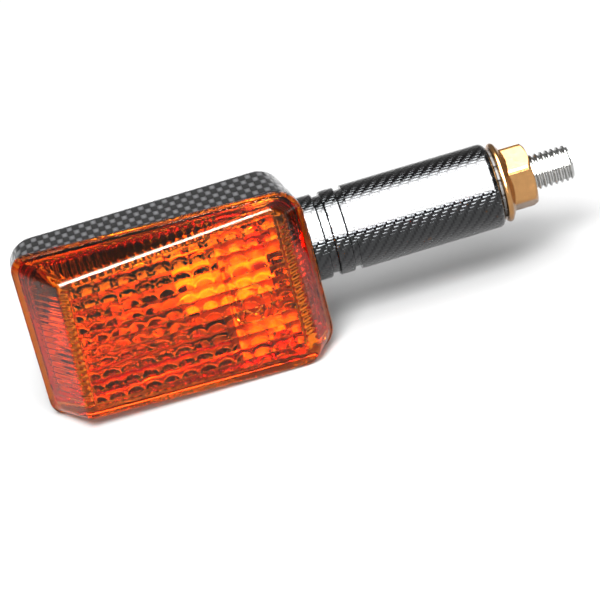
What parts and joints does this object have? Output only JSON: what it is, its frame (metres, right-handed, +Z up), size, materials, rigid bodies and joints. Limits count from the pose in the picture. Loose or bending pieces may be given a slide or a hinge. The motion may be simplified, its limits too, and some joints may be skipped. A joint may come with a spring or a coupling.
{
  "type": "motorcycle turn signal indicator",
  "caption": "Rectangular turn signal head with an amber fluted lens on a short round stalk that ends in a hollow threaded stud and a flange nut.",
  "frame": {"origin": "centre of the stalk's flat seat, on the axis of the stud's wire bore", "axes": "+X along the stud to its free end, the lens faces -Y, +Z up"},
  "size_m": [0.1248, 0.028, 0.039],
  "materials": {
    "carbon_look": "black and grey twill under a clear gloss coat",
    "amber_lens": "clear amber, fluted inside",
    "black_rubber": "matt black",
    "zinc_steel": "bright zinc plated",
    "yellow_zinc": "yellow zinc plated",
    "dark_steel": "blackened",
    "bright_sheet": "bright sheet metal",
    "screw_steel": "zinc plated",
    "bright_reflector": "vacuum metallised",
    "socket_steel": "nickel plated",
    "fibre_board": "brown fibre board",
    "brass": "plain brass",
    "spring_steel": "spring wire",
    "bulb_glass": "clear",
    "nickel": "nickel plated brass",
    "bulb_black": "black glass",
    "solder": "soft solder",
    "tungsten": "dull wire"
  },
  "bodies": {
    "body": {"rear_housing": "carbon_look", "stalk": "carbon_look", "lens_gasket": "black_rubber", "mounting_stud": "zinc_steel", "stud_inner_nut": "zinc_steel", "stud_inner_washer": "zinc_steel", "wire_grommet": "black_rubber", "socket_bracket": "bright_sheet", "bracket_screws": "screw_steel", "reflector": "bright_reflector", "reflector_screw": "screw_steel", "socket_shell": "socket_steel", "socket_base": "fibre_board", "feed_terminal": "brass", "ground_tab": "brass", "contact_spring": "spring_steel"},
    "lens": {"lens": "amber_lens"},
    "contact": {"contact_disc": "fibre_board", "contact_plunger": "brass"},
    "bulb": {"bulb_glass": "bulb_glass", "bulb_cap": "nickel", "bulb_insulator": "bulb_black", "bulb_contact": "solder", "bulb_stem": "bulb_glass", "bulb_supports": "nickel", "bulb_filament": "tungsten"},
    "nut_washer": {"mounting_lock_washer": "dark_steel"},
    "nut": {"mounting_nut": "yellow_zinc"},
    "upper_screw_seal": {"lens_screw_seal_upper": "black_rubber"},
    "upper_screw": {"lens_screw_upper": "screw_steel"},
    "lower_screw_seal": {"lens_screw_seal_lower": "black_rubber"},
    "lower_screw": {"lens_screw_lower": "screw_steel"}
  },
  "joints": [
    {"name": "lens_removal", "type": "slide", "parent": "body", "child": "lens", "axis": [0, -1, 0], "range_m": [0, 0.03]},
    {"name": "bulb_press", "type": "slide", "parent": "body", "child": "contact", "axis": [1, 0, 0], "range_m": [0, 0.0018], "stiffness_N_per_m": 3000, "springref_m": -0.0015, "deforming": ["contact_spring"]},
    {"name": "bulb_turn", "type": "hinge", "parent": "contact", "child": "bulb", "pos_m": [-0.0677, -0.0028, -0.0015], "axis": [1, 0, 0], "range_deg": [0, 30]},
    {"name": "nut_travel", "type": "slide", "parent": "body", "child": "nut_washer", "axis": [1, 0, 0], "range_m": [0, 0.00875]},
    {"name": "nut_turn", "type": "hinge", "parent": "nut_washer", "child": "nut", "pos_m": [0.0043, 0, 0], "axis": [1, 0, 0], "range_deg": [0, 2520]},
    {"name": "upper_screw_travel", "type": "slide", "parent": "body", "child": "upper_screw_seal", "axis": [0, 1, 0], "range_m": [0, 0.006]},
    {"name": "upper_screw_turn", "type": "hinge", "parent": "upper_screw_seal", "child": "upper_screw", "pos_m": [-0.0546, 0.008, 0.0113], "axis": [0, 1, 0], "range_deg": [0, 2160]},
    {"name": "lower_screw_travel", "type": "slide", "parent": "body", "child": "lower_screw_seal", "axis": [0, 1, 0], "range_m": [0, 0.006]},
    {"name": "lower_screw_turn", "type": "hinge", "parent": "lower_screw_seal", "child": "lower_screw", "pos_m": [-0.0546, 0.008, -0.0143], "axis": [0, 1, 0], "range_deg": [0, 2160]}
  ],
  "couplings": [
    {"joint": "bulb_turn", "follows": "bulb_press", "rad_per_m": 290.89},
    {"joint": "nut_turn", "follows": "nut_travel", "rad_per_m": 5026.5},
    {"joint": "upper_screw_turn", "follows": "upper_screw_travel", "rad_per_m": 6283.2},
    {"joint": "lower_screw_turn", "follows": "lower_screw_travel", "rad_per_m": 6283.2}
  ]
}
